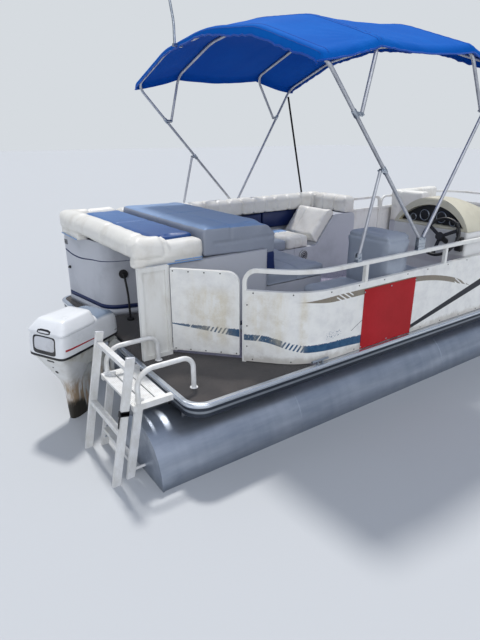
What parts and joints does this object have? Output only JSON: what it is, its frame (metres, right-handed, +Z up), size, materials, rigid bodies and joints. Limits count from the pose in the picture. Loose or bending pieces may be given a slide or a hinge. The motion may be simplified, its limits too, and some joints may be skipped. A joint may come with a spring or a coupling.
{
  "type": "pontoon boat",
  "caption": "Pontoon boat with a railed deck, lounge seating, helm console, swinging gates, folding ladder, fabric sun top and a tilting, steering outboard motor.",
  "frame": {"origin": "amidships on the centre line at the waterline", "axes": "+X to the bow, +Y to port, +Z up"},
  "size_m": [7.0334, 2.59, 3.7178],
  "materials": {
    "float_metal": "weathered mill finish",
    "frame_metal": "mill finish, dull",
    "trim_metal": "bright anodised, scuffed",
    "carpet": "worn marine carpet",
    "fence_white": "satin white, stained",
    "white_vinyl": "soft vinyl, off-white",
    "grey_vinyl": "soft vinyl, blue-grey",
    "blue_vinyl": "soft vinyl, mid blue",
    "navy_vinyl": "soft vinyl, navy",
    "moulded_grey": "moulded plastic, fine grain",
    "console_white": "gelcoat, chalky",
    "hood_tan": "moulded plastic, fine grain",
    "black_plastic": "moulded black",
    "tube_metal": "anodised tube",
    "canvas_blue": "woven canvas, sun-faded",
    "webbing": "woven strap",
    "motor_white": "gloss paint",
    "motor_grey": "gloss paint, weathered",
    "ladder_metal": "brushed, pitted",
    "rubber_black": "rubber"
  },
  "bodies": {
    "hull": {"pontoon_port": "float_metal", "pontoon_starboard": "float_metal", "pontoon_risers": "float_metal", "cross_members": "frame_metal", "deck_board": "carpet", "deck_edge_rail": "trim_metal", "motor_pod": "float_metal", "deck_cleats": "trim_metal", "fence_frame_starboard_aft": "fence_white", "fence_frame_starboard_bow": "fence_white", "fence_frame_port_aft": "fence_white", "fence_frame_port_bow": "fence_white", "fence_skins": "fence_white", "stern_corner_panel": "fence_white", "lounge_base": "moulded_grey", "aft_roll": "white_vinyl", "pad_band": "blue_vinyl", "sun_pad": "grey_vinyl", "bench_base": "moulded_grey", "couch_seats": "grey_vinyl", "port_couch_base": "moulded_grey", "port_couch_panel": "navy_vinyl", "port_couch_rolls": "white_vinyl", "chaise_base": "moulded_grey", "chaise_seat": "white_vinyl", "chaise_back": "white_vinyl", "speaker": "black_plastic", "helm_seat_base": "moulded_grey", "helm_seat_back": "grey_vinyl", "helm_seat_cushions": "grey_vinyl", "console_body": "console_white", "console_hood": "hood_tan", "dash_panel": "black_plastic", "steering_column": "black_plastic", "bow_couch_bases": "moulded_grey", "bow_couch_seats": "white_vinyl", "bow_couch_backs": "white_vinyl", "ladder_platform": "ladder_metal", "ladder_hoops": "ladder_metal", "bimini_bow_aft": "tube_metal", "bimini_bow_fore": "tube_metal", "bimini_second_bows": "tube_metal", "bimini_struts": "tube_metal", "bimini_fittings": "tube_metal", "bimini_canopy": "canvas_blue", "bimini_straps": "webbing", "stern_light": "trim_metal", "rigging_boots": "rubber_black", "rigging_cable": "rubber_black", "clamp_bracket": "motor_grey"},
    "outboard_bracket": {"swivel_bracket": "motor_grey"},
    "outboard": {"drive_leg": "motor_grey", "motor_pan": "motor_grey", "motor_cowl": "motor_white"},
    "propeller_body": {"propeller": "motor_grey"},
    "wheel_body": {"steering_wheel": "black_plastic"},
    "stern_gate_body": {"stern_gate": "fence_white"},
    "port_gate_body": {"port_gate": "fence_white"},
    "bow_gate_body": {"bow_gate": "fence_white"},
    "ladder_body": {"folding_ladder": "ladder_metal"}
  },
  "joints": [
    {"name": "outboard_tilt", "type": "hinge", "parent": "hull", "child": "outboard_bracket", "pos_m": [-3.035, 0, 0.53], "axis": [0, 1, 0], "range_deg": [0, 65]},
    {"name": "outboard_steer", "type": "hinge", "parent": "outboard_bracket", "child": "outboard", "pos_m": [-3.185, 0, 0.4], "axis": [0, 0, 1], "range_deg": [-58, 2]},
    {"name": "propeller_spin", "type": "hinge", "parent": "outboard", "child": "propeller_body", "pos_m": [-3.4923, -0.1634, -0.198], "axis": [0.8829, 0.4695, 0], "continuous": true},
    {"name": "helm_wheel_turn", "type": "hinge", "parent": "hull", "child": "wheel_body", "pos_m": [-0.445, -1.025, 1.17], "axis": [-0.8829, 0, 0.4695], "range_deg": [-36, 1044]},
    {"name": "stern_gate_swing", "type": "hinge", "parent": "hull", "child": "stern_gate_body", "pos_m": [-2.74754, -0.55036, 0.8], "axis": [0, 0, 1], "range_deg": [0, 46]},
    {"name": "port_gate_swing", "type": "hinge", "parent": "hull", "child": "port_gate_body", "pos_m": [1.47, 1.241, 0.8], "axis": [0, 0, 1], "range_deg": [0, 90]},
    {"name": "bow_gate_swing", "type": "hinge", "parent": "hull", "child": "bow_gate_body", "pos_m": [2.996, -0.32, 0.8], "axis": [0, 0, 1], "range_deg": [0, 90]},
    {"name": "ladder_fold", "type": "hinge", "parent": "hull", "child": "ladder_body", "pos_m": [-3.4632, -0.807, -0.0471], "axis": [0, -1, 0], "range_deg": [0, 180]}
  ],
  "couplings": [
    {"joint": "helm_wheel_turn", "follows": "outboard_steer", "ratio": -18}
  ]
}
